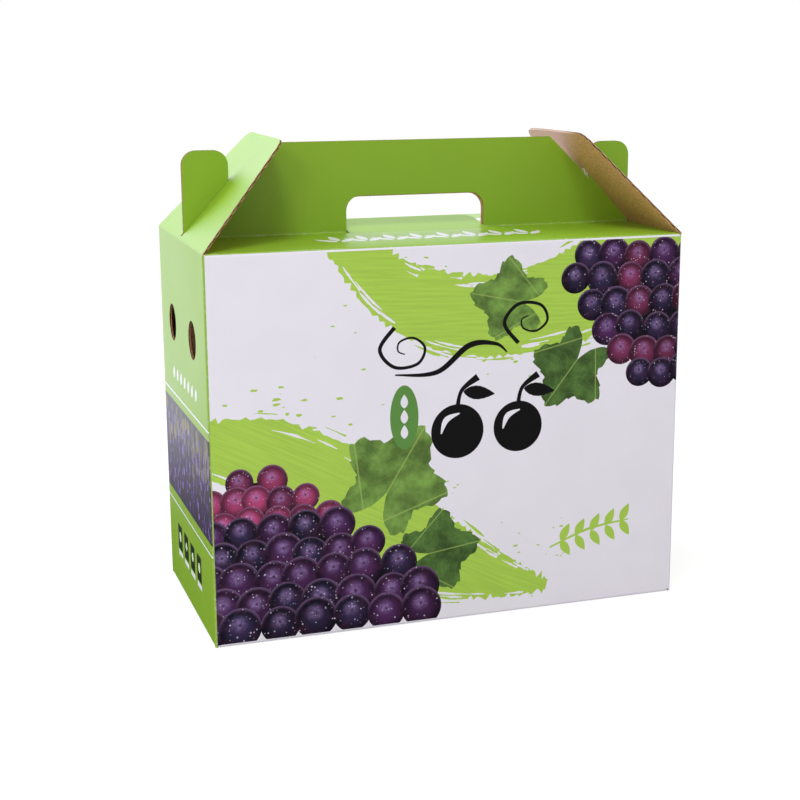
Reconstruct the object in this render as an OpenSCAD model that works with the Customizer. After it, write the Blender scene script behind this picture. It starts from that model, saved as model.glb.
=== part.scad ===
// Folding gift carton with a carrying handle, cut and creased from one corrugated board.
// The front and back walls fold over into a flat roof and then up into a double handle.
// Each side wall ends in a sloping lock flap, whose slit slips over the ears of the handle.
// The floor is a three-step snap lock: back flap, two side flaps, then front flap and tongue.
// The origin is the centre of the underside, +Z is up and the front faces -Y.

/* [Box] */
// Outside width along the front
body_w = 320; // [260:1:400]
// Outside depth from front to back
body_d = 158; // [140:1:200]
// Height of the roof above the floor
body_h = 250; // [180:1:320]

/* [Board] */
// Thickness of the corrugated board
board = 1.5; // [1.2:0.1:2]
// Air or glue between two boards that lie on each other
lap_gap = 0.1; // [0.05:0.05:0.2]
// Room between a cut edge and the board beside it
cut_gap = 0.3; // [0.2:0.05:0.5]

/* [Handle] */
// Height of the handle above the roof
handle_h = 60; // [50:1:80]
// Length of the handle's top edge
handle_top_w = 194; // [150:1:210]
// Height of the notch's bottom above the roof
notch_h = 33; // [25:1:36]
// Width of the flat bottom of the notch
notch_w = 1.2; // [0.5:0.1:3]
// Distance from the side wall's face to the ear
ear_inset = 3.2; // [3:0.1:4]
// Width of an ear
ear_w = 30; // [22:1:36]
// Height of an ear above the roof
ear_h = 56; // [48:1:60]
// Radius of an ear's corners
ear_r = 9.5; // [4:0.5:12]

/* [Hand hole] */
// Width of the hand hole
hand_w = 97; // [80:1:120]
// Height of the hand hole above the roof
hand_h = 24; // [20:1:32]
// Radius of the hand hole's upper corners
hand_r = 10; // [5:0.5:12]
// Angle of the pushed-in tab above the roof
tab_angle = 11; // [6:1:30]

/* [Lock flaps] */
// Length of a lock flap from its fold to its tip
flap_len = 87; // [80:1:100]
// Width of a lock flap at its tip
flap_tip_w = 93; // [70:1:120]
// Radius of the corners at the tip
flap_r = 11; // [4:0.5:16]
// Slope of a closed lock flap
flap_angle = 48; // [44:0.5:54]
// Distance from the fold to the slit
slit_from = 2.5; // [2.2:0.1:2.6]
// Length of slit left past the ear's farthest corner
slit_spare = 1.6; // [1:0.1:4]

/* [Vent holes] */
// Diameter of a vent hole
vent_d = 25; // [15:1:35]
// Distance between the two vent holes of a side wall
vent_pitch = 70; // [45:1:85]
// Distance from the roof down to the vent holes
vent_drop = 60; // [30:1:90]

/* [Glued seam] */
// Width of the glue tab inside the right wall
glue_w = 32; // [20:1:40]
// Distance of the glue tab's upper end from the roof
glue_end = 14; // [10:1:30]

/* [Floor flaps] */
// Depth of the front flap without its tongue
front_flap = 63; // [55:1:66]
// Width left off the front flap at each of its ends
front_flap_inset = 22; // [20:1:30]
// Width of the tongue
tongue_w = 104; // [80:1:110]
// Run over which the tongue climbs into the box
tongue_run = 24; // [18:1:26]
// Length of tongue that lies on the back flap
tongue_lap = 20; // [12:1:26]
// Length of a side flap
side_flap = 78; // [60:1:84]
// Run over which a side flap climbs onto the front flap
side_run = 12; // [8:1:14]
// Depth of the back flap at its shoulders
back_flap = 99; // [90:1:105]
// Depth of the back flap at its recess
back_recess = 68; // [64:1:69]
// Width of the back flap at its shoulders
shoulder_w = 252; // [220:1:256]
// Run over which the back flap climbs onto the side flaps
back_run = 22; // [16:1:24]
// Radius of the floor flaps' corners
floor_r = 7; // [2:0.5:9]

/* [Hidden] */
$fn = 64;

green = "yellowgreen";
white = "whitesmoke";
half_w = body_w / 2;
half_d = body_d / 2;
arc_steps = 8;                               // facets of a cut corner
over = 1;                                    // reach of a cutting tool past a face
layer = board + lap_gap;                     // one board and the air under it
handle_y = board + lap_gap / 2;              // outer face of each handle board
wall_w = body_w - 2 * board;                 // front and back walls between the corner folds
wall_d = body_d - 2 * board;                 // side walls between the corner folds
roof_w = body_w - 2 * (board + cut_gap);     // the roof drops between the side walls
corner_trim = 0.4;                           // a corner fold ends this far from roof and floor
ear_out = half_w - ear_inset;
ear_in = ear_out - ear_w;
slit_w = 2 * handle_y + 2 * cut_gap;
// The farthest point of an ear from the flap's fold is on its inner corner arc
slit_to = norm([ear_inset + ear_w - ear_r, ear_h - ear_r]) + ear_r + slit_spare;
flap_base_w = body_d - 2 * cut_gap;
hinge_lift = lap_gap;                        // the tab's hinge line lies just above the roof
mitre_h = 4 * board;                         // height of the tool that mitres a lock flap's fold
glue_foot = glue_end / 2;                    // the glue tab's lower end above the floor
glue_slant = glue_w / 3;                     // the glue tab narrows by this at each end
flap_play = 2 * board;                       // a front or side floor flap clears each corner fold
back_play = 3 * board;                       // the back floor flap clears the glued seam too
straight = board + 1.2;                      // a floor flap's ends run straight as far as this
taper = 4;                                   // front and back flaps narrow by this to their edge
mitre_gap = 2;                               // a side flap's mitre keeps this far off its neighbour
side_step = 4 * floor_r;                     // a side flap's end keeps off the back flap's shoulder

// Points of an outline whose corners [x, y, radius] are rounded off
function rounded(corners) =
    let (n = len(corners))
    [for (i = [0:n - 1]) each corner_arc(corners[(i + n - 1) % n], corners[i], corners[(i + 1) % n])];

// Arc that replaces one corner, or the corner itself where its radius is 0
function corner_arc(before, at, after) =
    let (p = [at[0], at[1]],
         u = unit([before[0], before[1]] - p),
         v = unit([after[0], after[1]] - p),
         half = acos(u * v) / 2,
         centre = p + unit(u + v) * at[2] / sin(half),
         start = p + u * at[2] / tan(half) - centre,
         turn = (u[0] * v[1] - u[1] * v[0] > 0 ? -1 : 1) * (180 - 2 * half))
    at[2] == 0 ? [p] : [for (k = [0:arc_steps]) centre + spin(start, turn * k / arc_steps)];

function unit(v) = v / norm(v);
function spin(v, a) = [v[0] * cos(a) - v[1] * sin(a), v[0] * sin(a) + v[1] * cos(a)];

// An outline's right half, from the crease outwards, and its mirror image
function mirrored(half) =
    concat(half, [for (i = [len(half) - 1:-1:0]) [-half[i][0], half[i][1], half[i][2]]]);

// A crease between two boards: a quarter round as thick as the board, along +Z from the origin
module quarter_fold(length) {
    rotate_extrude(angle = 90) square([board, length]);
}

// A crease along X: the board turns from -Y, standing up, to +Z, lying flat
module top_fold(length, y, z) {
    translate([length / 2, y, z]) rotate([0, -90, 0]) rotate([0, 0, -90]) quarter_fold(length);
}

module vent_holes() {
    for (side = [-1, 1])
        translate([-over, side * vent_pitch / 2, body_h - vent_drop])
            rotate([0, 90, 0]) cylinder(d = vent_d, h = board + 2 * over);
}

// Front wall, without its creases
module front_wall() {
    translate([-wall_w / 2, -half_d, board]) cube([wall_w, board, body_h - 2 * board]);
}

// Back wall: on the right it stops short of the glued seam
module back_wall() {
    translate([-wall_w / 2, half_d - board, board])
        cube([wall_w - layer, board, body_h - 2 * board]);
}

// A side wall with its vent holes: its outer face is at x = 0 and its inner face at x = board
module side_wall(back_reach) {
    difference() {
        translate([0, -wall_d / 2, board]) cube([board, wall_d + back_reach, body_h - board]);
        vent_holes();
    }
}

// The tab of the back wall that is glued inside the right wall, and its own crease
module glued_seam() {
    inner = wall_w / 2 - layer;
    top = body_h - glue_end;
    translate([inner, half_d - board, corner_trim]) quarter_fold(body_h - 2 * corner_trim - board);
    translate([inner, half_d - board, 0]) rotate([90, 0, 90]) linear_extrude(board)
        polygon([[0, glue_foot], [0, top], [-glue_w, top - glue_slant],
                 [-glue_w, glue_foot + glue_slant]]);
}

module corner_folds() {
    height = body_h - 2 * corner_trim;
    for (corner = [[-1, -1, 180], [1, -1, 270], [-1, 1, 90]])
        translate([corner[0] * wall_w / 2, corner[1] * wall_d / 2, corner_trim])
            rotate(corner[2]) quarter_fold(height);
}

// Half of the handle's outline, from the roof up over the ear and the notch
handle_half = [
    [ear_out, 0, 0],
    [ear_out, ear_h, ear_r],
    [ear_in, ear_h, ear_r],
    [ear_in, notch_h, 0],
    [ear_in - notch_w, notch_h, 0],
    [handle_top_w / 2, handle_h, 0],
];

// The hand hole, or what is cut for it, smaller by a gap on three sides
module hand_outline(gap = 0) {
    w = hand_w / 2 - gap;
    polygon(rounded(mirrored([[w, 0, 0], [w, hand_h - gap, hand_r - gap]])));
}

// One board of the handle, standing behind the plane y = 0
module handle_board() {
    rotate([90, 0, 0]) translate([0, 0, -board]) linear_extrude(board) difference() {
        polygon(rounded(mirrored(handle_half)));
        translate([0, -over]) square([hand_w, 2 * over], center = true);
        hand_outline();
    }
}

// Half of the roof with its two creases and one board of the handle, on the front
module roof_and_handle() {
    roof_d = half_d - board - handle_y;
    translate([-roof_w / 2, -half_d + board, body_h - board]) cube([roof_w, roof_d, board]);
    top_fold(roof_w, -half_d + board, body_h - board);
    translate([0, -handle_y, body_h]) rotate([0, 180, 180]) top_fold(2 * ear_out, 0, 0);
    translate([0, -handle_y, body_h]) handle_board();
}

// Section of a floor flap: u runs in from the wall's face, and the board climbs by lift
// between run_from and run_to
module flap_section(lift, run_from, run_to, reach) {
    intersection() {
        translate([board, board]) circle(board);
        square(board);
    }
    polygon([[board, 0], [run_from, 0], [run_to, lift], [reach, lift],
             [reach, lift + board], [run_to, lift + board], [run_from, board], [board, board]]);
}

// A floor flap at the front wall: its section run along X and cut to its outline
module floor_flap(outline, lift, run_from, run_to, reach) {
    intersection() {
        rotate([90, 0, 90]) translate([0, 0, -half_w]) linear_extrude(body_w)
            flap_section(lift, run_from, run_to, reach);
        linear_extrude(lift + board + over) polygon(rounded(outline));
    }
}

module front_floor_flap() {
    inset = half_w - front_flap_inset;
    mitre = front_flap_inset - flap_play - taper;
    end = front_flap + tongue_run + tongue_lap;
    translate([0, -half_d, 0])
        floor_flap(mirrored([
            [half_w - flap_play, -over, 0],
            [half_w - flap_play, straight, 0],
            [inset + taper, mitre + straight, 0],
            [inset, front_flap, floor_r],
            [tongue_w / 2 + floor_r, front_flap, floor_r / 2],
            [tongue_w / 2 - floor_r / 2, end, floor_r],
        ]), 3 * layer, front_flap, front_flap + tongue_run, end);
}

module back_floor_flap() {
    mitre = half_w - shoulder_w / 2 - back_play - taper;
    recess_w = tongue_w + 2 * floor_r;
    translate([0, half_d, 0]) rotate(180)
        floor_flap(mirrored([
            [half_w - back_play, -over, 0],
            [half_w - back_play, straight, 0],
            [shoulder_w / 2 + taper, mitre + 2 * board, 0],
            [shoulder_w / 2, back_flap, floor_r],
            [recess_w / 2 + floor_r, back_flap, floor_r],
            [recess_w / 2, back_recess, floor_r / 2],
        ]), 2 * layer, 2 * board, back_run, back_flap);
}

// The floor flap of the left wall: the right one is its mirror image
module side_floor_flap() {
    back_mitre = half_w - shoulder_w / 2 - board;
    front_x = half_d - front_flap_inset;
    translate([-half_w, 0, 0]) rotate(-90)
        floor_flap([
            [half_d - flap_play, -over, 0],
            [half_d - flap_play, board, 0],
            [front_x + flap_play, front_flap_inset - flap_play - mitre_gap, 0],
            [front_x - flap_play, side_flap, floor_r],
            [half_d - back_flap + side_step, side_flap, floor_r],
            [-half_d + back_mitre + board, back_mitre - mitre_gap, 0],
            [-half_d + flap_play, board, 0],
            [-half_d + flap_play, -over, 0],
        ], layer, 2 * board, 2 * board + side_run, side_flap);
}

module carton() {
    color(white) {
        front_wall();
        back_wall();
    }
    color(green) {
        translate([-half_w, 0, 0]) side_wall(0);
        translate([half_w, 0, 0]) mirror([1, 0, 0]) side_wall(board);
        corner_folds();
        glued_seam();
        roof_and_handle();
        rotate(180) roof_and_handle();
        front_floor_flap();
        back_floor_flap();
        side_floor_flap();
        mirror([1, 0, 0]) side_floor_flap();
    }
}

// Half of a lock flap's outline, across and along it from its fold
flap_half = [
    [flap_base_w / 2, 0, 0],
    [flap_tip_w / 2, flap_len, flap_r],
];

// The left lock flap, leaning in from the top of the left wall over the end of the handle
module left_lock_flap() {
    color(green) difference() {
        translate([-half_w, 0, body_h]) rotate([0, -flap_angle, 0]) rotate(-90)
            translate([0, 0, -board]) linear_extrude(board) difference() {
                polygon(rounded(mirrored(flap_half)));
                translate([-slit_w / 2, slit_from]) square([slit_w, slit_to - slit_from]);
            }
        // The inner side of the fold is mitred to sit on the wall
        translate([-half_w - over, -half_d, body_h + lap_gap - mitre_h])
            cube([flap_len, body_d, mitre_h]);
    }
}

module right_lock_flap() {
    mirror([1, 0, 0]) left_lock_flap();
}

// The tab cut out of the hand hole, hinged on the roof's middle crease and pushed back
module hand_hole_tab() {
    color(green) translate([0, -lap_gap / 2, body_h + hinge_lift])
        rotate([tab_angle - 90, 0, 0]) translate([0, -board, 0])
            rotate([90, 0, 0]) translate([0, 0, -board]) linear_extrude(board) hand_outline(cut_gap);
}

carton();
left_lock_flap();
right_lock_flap();
hand_hole_tab();
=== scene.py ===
import math
import random
import bpy
from mathutils import Matrix, Vector, noise
from mathutils.geometry import delaunay_2d_cdt


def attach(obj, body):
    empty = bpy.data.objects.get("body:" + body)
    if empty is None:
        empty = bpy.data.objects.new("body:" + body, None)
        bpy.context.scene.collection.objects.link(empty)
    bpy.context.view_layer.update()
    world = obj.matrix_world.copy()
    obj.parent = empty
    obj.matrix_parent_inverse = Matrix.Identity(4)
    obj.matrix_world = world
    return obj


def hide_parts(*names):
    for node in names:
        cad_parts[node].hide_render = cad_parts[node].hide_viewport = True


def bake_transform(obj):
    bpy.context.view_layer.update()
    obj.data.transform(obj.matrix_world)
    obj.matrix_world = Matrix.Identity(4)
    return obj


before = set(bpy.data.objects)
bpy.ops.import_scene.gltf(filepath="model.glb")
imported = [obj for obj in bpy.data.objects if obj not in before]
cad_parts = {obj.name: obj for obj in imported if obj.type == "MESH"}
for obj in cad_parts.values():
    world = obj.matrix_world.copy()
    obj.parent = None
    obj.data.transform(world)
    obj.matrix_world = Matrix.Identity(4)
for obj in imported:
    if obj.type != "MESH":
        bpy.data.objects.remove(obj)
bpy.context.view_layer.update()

# The carton in millimetres, as in the CAD source
MM = 0.001
WIDTH, DEPTH, HEIGHT, BOARD = 320.0, 158.0, 250.0, 1.5
HALF_W, HALF_D = WIDTH / 2, DEPTH / 2
FILM = 0.1  # air or glue between two boards
LAYER = BOARD + FILM
CUT_GAP = 0.3
HANDLE_Y = BOARD + FILM / 2
CREASE = 2.0  # outer radius of a crease
INNER_CREASE = 0.7  # radius of a crease that closes on its printed side
ROOF_HALF = HALF_W - BOARD - CUT_GAP
EAR_OUT, EAR_IN = 156.8, 126.8
EAR_TOP, EAR_R = 56.0, 9.5
NOTCH, NOTCH_W = 33.0, 1.2
HANDLE_TOP, HANDLE_HALF = 60.0, 97.0
HAND_HALF, HAND_TOP, HAND_R = 48.5, 24.0, 10.0
SLIP = 0.7  # the two boards' hand holes don't quite meet
VENT_R, VENT_Y, VENT_Z = 12.5, 35.0, 190.0
FLAP_LEN, FLAP_TIP, FLAP_BASE, FLAP_R = 87.0, 46.5, 78.7, 11.0
FLAP_SLOPE = 48.0
SLIT_HALF, SLIT_FROM, SLIT_TO = 1.85, 2.5, 63.3
TAB_RISE = 11.0
GLUE_W, GLUE_END = 32.0, 14.0
FRONT_FLAP, TONGUE_RUN, TONGUE_LAP, TONGUE_W = 63.0, 24.0, 20.0, 104.0
SIDE_FLAP, SIDE_RUN = 78.0, 12.0
BACK_FLAP, BACK_RECESS, BACK_RUN, SHOULDER = 99.0, 68.0, 22.0, 126.0
FLOOR_INSET, FLOOR_R = 22.0, 7.0
FLOOR_STRAIGHT, FLOOR_TAPER, MITRE_GAP = 1.2, 4.0, 2.0
WALL_FOOT = 0.4  # the corner creases end this far from roof and floor
FLUTE = 3.2  # pitch of the board's flutes
BEYOND = 170.0  # past the ends of roof and floor boards, for lines that cut them

# Colours of ink and board, linear
def ink(r, g, b):
    """An sRGB colour of 0 to 255 as linear values."""
    def linear(c):
        c /= 255
        return c / 12.92 if c <= 0.04045 else ((c + 0.055) / 1.055) ** 2.4
    return (linear(r), linear(g), linear(b))


PAPER = ink(229, 223, 233)
LIME = ink(137, 174, 38)
SWEEP = ink(166, 200, 72)
LEAF = ink(104, 138, 58)
DARK_LEAF = ink(72, 104, 44)
PLUM = ink(62, 24, 72)
NIGHT = ink(38, 28, 62)
WINE = ink(104, 32, 70)
ROSE = ink(150, 46, 92)
VIOLET = ink(112, 84, 150)
WHITE = (1.0, 1.0, 1.0)
BLACK = ink(22, 20, 22)
TILE = ink(30, 44, 22)
CAPTION = ink(214, 232, 190)
SEAL = ink(92, 142, 62)
BAND = ink(58, 42, 60)
STEMS = [ink(112, 102, 82), ink(92, 86, 72), ink(74, 68, 66), ink(128, 116, 78)]
PETALS = [VIOLET, ink(78, 58, 132), ink(108, 82, 166), ink(66, 50, 104), ink(134, 108, 186)]
PAINTED_LIGHT_PINK = ink(250, 194, 196)  # painted light: pale pink on the right flap's inside towards its tip, where light from behind falls

WRAP = 1.3  # the print sits this far to the right of the corner creases


# Folding: a strip's section in its own plane

class Chain:
    """Straight runs and creases one after another, by length along the printed face."""

    def __init__(self, start, heading, side):
        self.spans = []
        self.point = Vector(start)
        self.heading = math.radians(heading)
        self.side = side  # +1: the printed face is to the left of the heading
        self.length = 0.0
        self.bends = []  # (from, to) of every crease

    def run(self, length):
        self.spans.append(("run", self.length, length, self.point.copy(), self.heading, 0.0))
        step = Vector((math.cos(self.heading), math.sin(self.heading)))
        self.point = self.point + step * length
        self.length += length
        return self

    def crease(self, degrees, radius):
        angle = math.radians(degrees)
        length = abs(angle) * radius
        self.spans.append(("crease", self.length, length, self.point.copy(), self.heading, angle))
        self.bends.append((self.length, self.length + length))
        self.point, self.heading = self.along_crease(self.spans[-1], length)
        self.length += length
        return self

    @staticmethod
    def along_crease(span, s):
        _, _, length, point, heading, angle = span
        radius = length / abs(angle)
        turn = math.copysign(1, angle)
        centre = point + Vector((-math.sin(heading), math.cos(heading))) * radius * turn
        now = heading + angle * s / length
        return centre - Vector((-math.sin(now), math.cos(now))) * radius * turn, now

    def at(self, s):
        """The printed face's point and outward normal at length s."""
        span = self.spans[0]
        for candidate in self.spans:
            if s >= candidate[1]:
                span = candidate
        if span[0] == "run":
            step = Vector((math.cos(span[4]), math.sin(span[4])))
            point, heading = span[3] + step * (s - span[1]), span[4]
        else:
            point, heading = self.along_crease(span, s - span[1])
        return point, Vector((-math.sin(heading), math.cos(heading))) * self.side


def in_plan(chain, origin=0.0):
    """A wall: a runs along the chain, seen from above, and b is the height."""
    def place(a, b, w):
        point, normal = chain.at(a - origin)
        point = point - normal * w
        return Vector((point.x, point.y, b))
    return place


def in_section(chain):
    """A roof or floor board at the front: a is x, and b runs along the chain in the plane of y and z."""
    def place(a, b, w):
        point, normal = chain.at(b)
        point = point - normal * w
        return Vector((a, point.x, point.y))
    return place


def turned(place):
    """The same board at the back."""
    def other(a, b, w):
        p = place(a, b, w)
        return Vector((-p.x, -p.y, p.z))
    return other


# Outlines, in the plane of a sheet

def rounded(corners, steps=8):
    """The points of an outline whose corners (x, y, radius) are rounded off."""
    points = []
    for i, (x, y, r) in enumerate(corners):
        at = Vector((x, y))
        if r == 0:
            points.append(at)
            continue
        u = (Vector(corners[i - 1][:2]) - at).normalized()
        v = (Vector(corners[(i + 1) % len(corners)][:2]) - at).normalized()
        half = math.acos(max(-1, min(1, u.dot(v)))) / 2
        centre = at + (u + v).normalized() * (r / math.sin(half))
        start = at + u * (r / math.tan(half)) - centre
        turn = math.copysign(math.pi - 2 * half, -(u.x * v.y - u.y * v.x))
        for k in range(steps + 1):
            points.append(centre + Matrix.Rotation(turn * k / steps, 2) @ start)
    return points


def mirrored(half):
    return list(half) + [(-x, y, r) for x, y, r in reversed(half)]


def circle(x, y, r, steps=40):
    turn = math.tau / steps
    return [Vector((x + r * math.cos(turn * k), y + r * math.sin(turn * k))) for k in range(steps)]


def anticlockwise(loop):
    area = sum(p.x * q.y - q.x * p.y for p, q in zip(loop, loop[1:] + loop[:1]))
    return loop if area > 0 else loop[::-1]


# Printed shapes: each has a kind, an ink, a loop and its own axes for the shading

class Shape:
    def __init__(self, kind, tint, loop, centre=(0, 0), size=1.0, angle=0.0, seed=0.0):
        self.kind, self.tint, self.loop = kind, tint, anticlockwise(loop)
        self.centre, self.size, self.angle, self.seed = Vector(centre), size, angle, seed

    def lies_between(self, low, high):
        return all(low < p.y < high for p in self.loop)

    def local(self, p):
        q = Matrix.Rotation(-self.angle, 2) @ (Vector(p) - self.centre)
        return (q.x / self.size, q.y / self.size, self.seed)


KINDS = {"flat": (0, 0, 0), "fruit": (1, 0, 0), "leaf": (0, 1, 0), "sweep": (0, 0, 1)}


def fruit(x, y, r, tint, rng):
    """A round fruit, a little out of true."""
    squash = rng.uniform(0.94, 1.0)
    angle = rng.uniform(0, math.pi)
    loop = []
    for p in circle(0, 0, r, 36):
        q = Matrix.Rotation(angle, 2) @ Vector((p.x, p.y * squash))
        loop.append(Vector((x, y)) + q)
    shade = rng.uniform(0.75, 1.3)
    return Shape("fruit", tuple(c * shade for c in tint), loop, (x, y), r, 0, rng.uniform(0, 50))


def flat_leaf(x, y, length, width, degrees, tint):
    """A pointed oval leaf in one ink, with its stalk end at x, y."""
    upper = []
    for k in range(19):
        t = k / 18
        half = width / 2 * math.sin(math.pi * t ** 0.8) ** 0.9 * (1 + 0.03 * math.sin(40 * t))
        upper.append((t * length, half))
    loop = [Vector(p) for p in upper] + [Vector((p, -q)) for p, q in reversed(upper[1:-1])]
    turn = Matrix.Rotation(math.radians(degrees), 2)
    return Shape("flat", tint, [Vector((x, y)) + turn @ p for p in loop])


def vine_leaf(x, y, size, degrees, tint, seed=0.0):
    """A broad leaf of five lobes with a toothed edge, its stalk end at x, y."""
    angle = math.radians(degrees)
    turn = Matrix.Rotation(angle, 2)
    loop = []
    for k in range(120):
        t = math.tau * k / 120
        lobes = 0.80 + 0.16 * math.cos(5 * t) + 0.10 * math.cos(t)
        notch = 1 - 0.72 * math.exp(-((abs(math.pi - t)) / 0.26) ** 2)
        teeth = 1 + 0.045 * (1 - (k % 5) / 2.5)
        teeth += 0.05 * noise.noise(Vector((math.cos(t) * 2, math.sin(t) * 2, seed)))
        r = size / 2 * lobes * notch * teeth
        loop.append(Vector((x, y)) + turn @ Vector((size * 0.46 + r * math.cos(t), r * math.sin(t))))
    middle = Vector((x, y)) + turn @ Vector((size / 2, 0))
    return Shape("leaf", tint, loop, middle, size / 2, angle, seed)


def spline(points, steps=14):
    """A smooth line through points of x, y and half width."""
    out = []
    n = len(points)
    for i in range(n - 1):
        p = [Vector(points[max(0, min(n - 1, i + k))]) for k in (-1, 0, 1, 2)]
        for k in range(steps):
            t = k / steps
            out.append(0.5 * (2 * p[1] + (p[2] - p[0]) * t
                              + (2 * p[0] - 5 * p[1] + 4 * p[2] - p[3]) * t ** 2
                              + (3 * p[1] - p[0] - 3 * p[2] + p[3]) * t ** 3))
    out.append(Vector(points[-1]))
    return out


def stroke(kind, tint, points, rough=0.0, seed=0.0, steps=14):
    """A band along a smooth line, with its half width at each point and edges as rough as a brush's."""
    line = spline(points, steps)
    left, right = [], []
    for i, p in enumerate(line):
        ahead = line[min(i + 1, len(line) - 1)] - line[max(i - 1, 0)]
        normal = Vector((-ahead.y, ahead.x)).normalized()
        for side, loop in ((1, left), (-1, right)):
            wave = rough * noise.noise(Vector((i * 0.9, side * 7.0, seed)))
            wave += rough * 0.6 * noise.noise(Vector((i * 2.7, side * 3.0, seed + 5)))
            loop.append(Vector((p.x, p.y)) + normal * side * max(0.05, p.z + wave))
    start, end = Vector(line[0][:2]), Vector(line[-1][:2])
    angle = math.atan2(end.y - start.y, end.x - start.x)
    return Shape(kind, tint, left + right[::-1], (start + end) / 2, 40.0, angle, seed)


def heap(rng, rows, tints):
    """Round fruits packed in rows of (y, from x, to x, radius), the lowest row in front."""
    shapes = []
    for (y, x0, x1, _), (low, next_x0, next_x1, _) in zip(rows, rows[1:]):
        shapes.append(Shape("flat", BLACK, box_loop(max(x0, next_x0), min(x1, next_x1), low, y)))
    for y, x0, x1, r in rows:
        count = max(1, round((x1 - x0) / (1.62 * r)))
        for k in range(count + 1):
            x = x0 + (x1 - x0) * k / count + rng.uniform(-0.15, 0.15) * r
            size = r * rng.uniform(0.92, 1.08)
            shapes.append(fruit(x, y + rng.uniform(-0.18, 0.18) * r, size, rng.choice(tints), rng))
    return shapes


# Sheets of board

def linked(name, data):
    """A new object in the scene."""
    thing = bpy.data.objects.new(name, data)
    bpy.context.scene.collection.objects.link(thing)
    return thing


def cut(loops, holes, shapes, lines):
    """Triangles of the outline without its holes, cut along the shapes, each with its topmost shape."""
    points, edges, faces = [], [], []
    for loop in [loops] + holes + [s.loop for s in shapes]:
        loop = anticlockwise(loop)
        faces.append(list(range(len(points), len(points) + len(loop))))
        points.extend(loop)
    for a, b in lines:
        edges.append((len(points), len(points) + 1))
        points.extend([Vector(a), Vector(b)])
    verts, _, tris, _, _, origin = delaunay_2d_cdt(points, edges, faces, 0, 1e-4)
    kept = []
    for tri, owners in zip(tris, origin):
        if 0 not in owners or any(1 <= o <= len(holes) for o in owners):
            continue
        kept.append((list(tri), max(owners) - 1 - len(holes)))
    return verts, kept


def sheet(name, outline, place, holes=(), shapes=(), lines=(), body="box", ground=PAPER, board=BOARD,
          wear_and_crease_highlight=None, painted_light=None):
    """One board: the printed face, the face inside and the cut edge, as a closed mesh."""
    shapes = list(shapes)
    verts, tris = cut(outline, list(holes), shapes, lines)
    used = sorted({i for tri, _ in tris for i in tri})
    index = {v: k for k, v in enumerate(used)}
    flat = [verts[i] for i in used]
    n = len(flat)
    coords = [place(p.x, p.y, 0.0) * MM for p in flat]
    coords += [place(p.x, p.y, board) * MM for p in flat]
    faces = []  # corners, material and printed shape
    open_edges = {}
    for tri, top in tris:
        a, b, c = (index[i] for i in tri)
        faces.append(((a, b, c), 0, shapes[top] if top >= 0 else None))
        faces.append(((c + n, b + n, a + n), 1, None))
        for i, j in ((a, b), (b, c), (c, a)):
            if not open_edges.pop((j, i), False):
                open_edges[(i, j)] = True
    faces += [((j, i, i + n, j + n), 2, None) for i, j in open_edges]
    mesh = bpy.data.meshes.new(name)
    mesh.from_pydata(coords, [], [corners for corners, _, _ in faces])
    local, tint, kind, spot = [], [], [], []
    for face, (_, material, owner) in zip(mesh.polygons, faces):
        face.material_index = material
        for v in face.vertices:
            p = flat[v % n]
            local.extend(owner.local(p) if owner else (0, 0, 0))
            tint.extend((*(owner.tint if owner else ground), 1.0))
            kind.extend(KINDS[owner.kind] if owner else (0, 0, 0))
            spot.extend((p.x, p.y, board if v >= n else 0.0))
    # Each point's value: the printed face takes wear and a painted crease highlight, the inside takes
    # painted light
    wear_and_painted_light = [test(p.x, p.y) if test else 0.0 for test in (wear_and_crease_highlight, painted_light) for p in flat]
    layers = (("local", "FLOAT_VECTOR", "CORNER", "vector", local),
              ("tint", "FLOAT_COLOR", "CORNER", "color", tint),
              ("kind", "FLOAT_VECTOR", "CORNER", "vector", kind),
              ("spot", "FLOAT_VECTOR", "CORNER", "vector", spot),
              ("wear_and_painted_light", "FLOAT", "POINT", "value", wear_and_painted_light))
    for label, form, domain, key, values in layers:
        mesh.attributes.new(label, form, domain).data.foreach_set(key, values)
    for material in (PRINT, KRAFT, EDGE):
        mesh.materials.append(material)
    mesh.polygons.foreach_set("use_smooth", [True] * len(mesh.polygons))
    mesh.set_sharp_from_angle(angle=math.radians(32))
    mesh.validate()
    piece = linked(name, mesh)
    if body:
        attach(piece, body)
    return piece


def crease_lines(chain, reach=(-BEYOND, BEYOND), origin=0.0, upright=False, steps=6):
    """Lines across a sheet at every step of its chain's creases."""
    low, high = reach
    lines = []
    for start, end in chain.bends:
        for k in range(steps + 1):
            s = start + (end - start) * k / steps + origin
            s = min(max(s, origin + 0.001), origin + chain.length - 0.001)
            lines.append(((s, low), (s, high)) if upright else ((low, s), (high, s)))
    return lines


# Materials

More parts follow.
